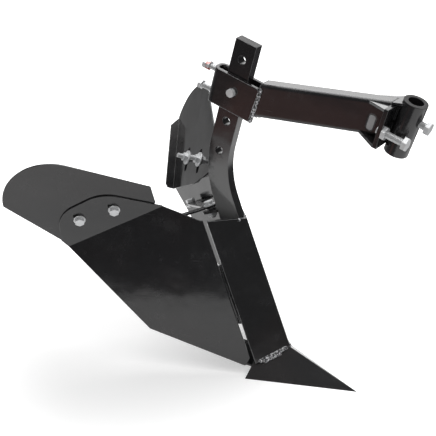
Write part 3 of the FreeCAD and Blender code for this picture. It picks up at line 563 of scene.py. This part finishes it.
class PLOUGH_OT_frame_welds(bpy.types.Operator):
    """Weld beads of the clamp, the end plate and the breast's top"""
    bl_idname = "plough.frame_welds"
    bl_label = "Frame welds"

    def execute(self, context):
        for hand, side in HANDS.items():
            for name, (place, *ends) in FRAME_WELDS.items():
                lay_weld(context, f"{name}_{hand}", *[place(x, side * y, z) for x, y, z in ends])
        return {"FINISHED"}


# ---- studio ----
FLOOR_SIZE = 12.0
SENSOR_WIDTH = 36.0                     # millimetres
LAMPS = {                               # name: place, with X from the camera's target, size, power
    "top light": ((-0.3, 0.4, 1.6), (1.6, 1.6), 26.0),
    "back light": ((-0.4, 1.25, 0.80), (0.9, 0.5), 3.0),
    "side light": ((1.6, -0.2, 1.3), (0.9, 0.9), 6.0),
}
FLOOR_SHADE = 0.25                      # how much darker than white the floor's own colour is
SHADOW_MIDDLE = (-0.10, -0.10, 0.0)     # from the sheet's middle; the shadow shows in full around it
SHADOW_FADE = (0.12, 0.50)              # distances from there over which the floor is lifted to white

# The floor in the gloss.  Each pair says where a patch starts and where it is full, in metres: X and Y
# from the sheet's middle, the sheet's own limits from its edges, the warm floor's Y from the near edge.
SHEET_NEAR, SHEET_FAR, SHEET_LEFT = (-0.02, 0.04), (0.05, -0.05), (-0.2, 0.2)
DARK_FLOOR = (0.10, 0.10, 0.104, 1.0)
WARM_X = ((-0.12, -0.25), (-0.72, -0.58))
WARM_Y = ((0.10, 0.0), (-0.53, -0.38))
PALE_FLOOR = 0.5
PALE_X, PALE_Y = (-0.9, -1.3), (-0.5, -0.2)

# The room in the gloss.  Each pair says where a thing starts and where it is full, as the sine of the
# height that is looked at, or as the cosine of the turn from the far wall's or the window's middle.
FAR_SIDE = Vector((-0.6, 0.8, 0.0))
WALL_SIDES, WALL_FOOT, WALL_TOP = (0.25, 0.75), (0.04, 0.20), (0.60, 0.36)
WINDOW = Vector((-0.49, 0.83, 0.26))
WINDOW_RIM = (0.97, 0.985)
CEILING_RIM = (0.45, 0.80)
ROOM_LIGHT, WALL_LIGHT, CEILING_LIGHT, WINDOW_LIGHT = 0.10, 0.35, 0.16, 1.5


def lamp(name, place, size, power, target):
    """A soft rectangular lamp that faces the target."""
    data = bpy.data.lights.new(name, "AREA")
    data.shape = "RECTANGLE"
    data.size, data.size_y = size
    data.energy = power
    light = bpy.data.objects.new(name, data)
    light.location = place
    light.rotation_euler = (target - place).to_track_quat("-Z", "Y").to_euler()
    bpy.context.collection.objects.link(light)


def place_camera(context, settings, target):
    """The camera, looking at the target from its azimuth and elevation."""
    turn, rise = settings.azimuth, settings.elevation
    back = Vector((math.sin(turn) * math.cos(rise), -math.cos(turn) * math.cos(rise), math.sin(rise)))
    data = bpy.data.cameras.new("camera")
    data.lens = settings.lens
    data.sensor_width = SENSOR_WIDTH
    camera = bpy.data.objects.new("camera", data)
    camera.location = target + back * settings.distance
    camera.rotation_euler = back.to_track_quat("Z", "Y").to_euler()
    context.collection.objects.link(camera)
    bpy.context.scene.camera = camera


def shifted(edge, pair):
    """A pair of places counted from an edge."""
    return edge + pair[0], edge + pair[1]


def glossy_floor(floor, settings):
    """The floor's colour in the gloss past the sheet, and a mask that is 1 past the sheet."""
    x, y = floor.axis("X"), floor.axis("Y")
    near, far, left = settings.sheet
    sheet = floor.band(y, *shifted(near, SHEET_NEAR)) * floor.band(y, *shifted(far, SHEET_FAR))
    sheet = sheet * floor.band(x, *shifted(left, SHEET_LEFT))
    warm = floor.band(y, *shifted(near, WARM_Y[0])) * floor.band(y, *shifted(near, WARM_Y[1]))
    warm = warm * floor.band(x, *WARM_X[0]) * floor.band(x, *WARM_X[1])
    tint = floor.mix(warm, DARK_FLOOR, colour(settings.warm))
    pale = floor.band(x, *PALE_X) * floor.band(y, *PALE_Y)
    return floor.mix(pale, tint, grey(PALE_FLOOR)), 1.0 - sheet


def floor_finish(settings):
    """White floor with the plough's soft shadow; in gloss it ends as a sheet on a darker floor."""
    floor = Finish("Studio floor")
    glossy = floor.ray("Is Glossy Ray")
    beyond, off_sheet = glossy_floor(floor, settings)
    tint = floor.mix(off_sheet * glossy, grey(1.0), beyond)
    shade = floor.mix(FLOOR_SHADE, tint, grey(0.0))
    diffuse = floor.node("ShaderNodeBsdfDiffuse", {}, {"Color": shade}, "BSDF")
    reach = floor.node("ShaderNodeVectorMath", {"operation": "DISTANCE"},
                       {0: floor.place, 1: SHADOW_MIDDLE}, "Value")
    past_shadow = floor.band(reach, *SHADOW_FADE) * (1.0 - glossy)
    lift = settings.glow + past_shadow * (1.0 - settings.glow)
    glow = floor.node("ShaderNodeEmission", {}, {"Color": floor.dim(tint, lift)}, "Emission")
    lit = floor.node("ShaderNodeAddShader", {}, {0: diffuse, 1: glow})
    seen = floor.node("ShaderNodeMath", {"operation": "MAXIMUM"}, {0: floor.ray("Is Camera Ray"), 1: glossy})
    floor.show(floor.node("ShaderNodeMixShader", {}, {"Fac": seen, 1: diffuse, 2: lit}))
    return floor.material


def light_studio(tree, settings):
    """World: white to the eye, even as light; in gloss a bright far wall under a dim ceiling."""
    world = Shading(tree, "ShaderNodeOutputWorld", "Generated")
    height = world.axis("Z")
    wall = world.band(world.along(FAR_SIDE), *WALL_SIDES)
    wall = wall * world.band(height, *WALL_TOP) * world.band(height, *WALL_FOOT)
    ceiling = world.band(height, *CEILING_RIM)
    window = world.band(world.along(WINDOW), *WINDOW_RIM)
    room = ROOM_LIGHT + wall * WALL_LIGHT + ceiling * CEILING_LIGHT + window * WINDOW_LIGHT
    glossy = world.ray("Is Glossy Ray")
    seen = world.ray("Is Camera Ray") + world.ray("Is Transmission Ray")
    level = settings.soft + glossy * (room - settings.soft) + seen * (1.0 - settings.soft)
    world.show(world.node("ShaderNodeBackground", {}, {"Color": world.dim((1.0, 1.0, 1.0), level)}))


class PLOUGH_OT_studio(bpy.types.Operator):
    """Pale floor and backdrop, soft light and the camera"""
    bl_idname = "plough.studio"
    bl_label = "Studio"

    def execute(self, context):
        settings = context.scene.plough_studio
        target = Vector(settings.target)
        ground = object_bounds()[0][2]
        start_piece()
        bpy.ops.mesh.primitive_plane_add(size=FLOOR_SIZE, location=(*settings.foot, ground))
        floor = context.object
        floor.name = "floor"
        floor.data.materials.append(floor_finish(settings))
        floor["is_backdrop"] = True
        place_camera(context, settings, target)
        for name, (place, size, power) in LAMPS.items():
            lamp(name, Vector(place) + FORWARD * target.x, size, power, target)
        world = bpy.data.worlds.new("studio")
        world.use_nodes = True
        light_studio(world.node_tree, settings)
        context.scene.world = world
        context.scene.view_settings.view_transform = "Standard"
        return {"FINISHED"}


# ---- add-on ----
class PLOUGH_PT_panel(bpy.types.Panel):
    """Lists the plough's operators and settings"""
    bl_label = "Ridging plough"
    bl_idname = "PLOUGH_PT_panel"
    bl_space_type = "VIEW_3D"
    bl_region_type = "UI"
    bl_category = "Plough"

    def draw(self, context):
        for operator in OPERATORS:
            self.layout.operator(operator.bl_idname)
        for name, group in SETTINGS.items():
            box = self.layout.box()
            for prop in group.__annotations__:
                box.prop(getattr(context.scene, name), prop)


SETTINGS = {"plough_paint": PaintSettings, "plough_zinc": ZincSettings, "plough_welds": WeldSettings,
            "plough_studio": StudioSettings}
OPERATORS = (PLOUGH_OT_black_paint, PLOUGH_OT_zinc, PLOUGH_OT_share_welds, PLOUGH_OT_frame_welds,
             PLOUGH_OT_studio)


def register():
    for group in SETTINGS.values():
        bpy.utils.register_class(group)
    for name, group in SETTINGS.items():
        setattr(bpy.types.Scene, name, PointerProperty(type=group))
    for operator in OPERATORS:
        bpy.utils.register_class(operator)
    bpy.utils.register_class(PLOUGH_PT_panel)


def unregister():
    bpy.utils.unregister_class(PLOUGH_PT_panel)
    for operator in reversed(OPERATORS):
        bpy.utils.unregister_class(operator)
    for name, group in reversed(SETTINGS.items()):
        delattr(bpy.types.Scene, name)
        bpy.utils.unregister_class(group)


def main():
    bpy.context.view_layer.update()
    register()
    bpy.ops.plough.black_paint()
    bpy.ops.plough.zinc()
    bpy.ops.plough.share_welds()
    bpy.ops.plough.frame_welds()
    bpy.ops.plough.studio()


if __name__ == "__main__":
    main()
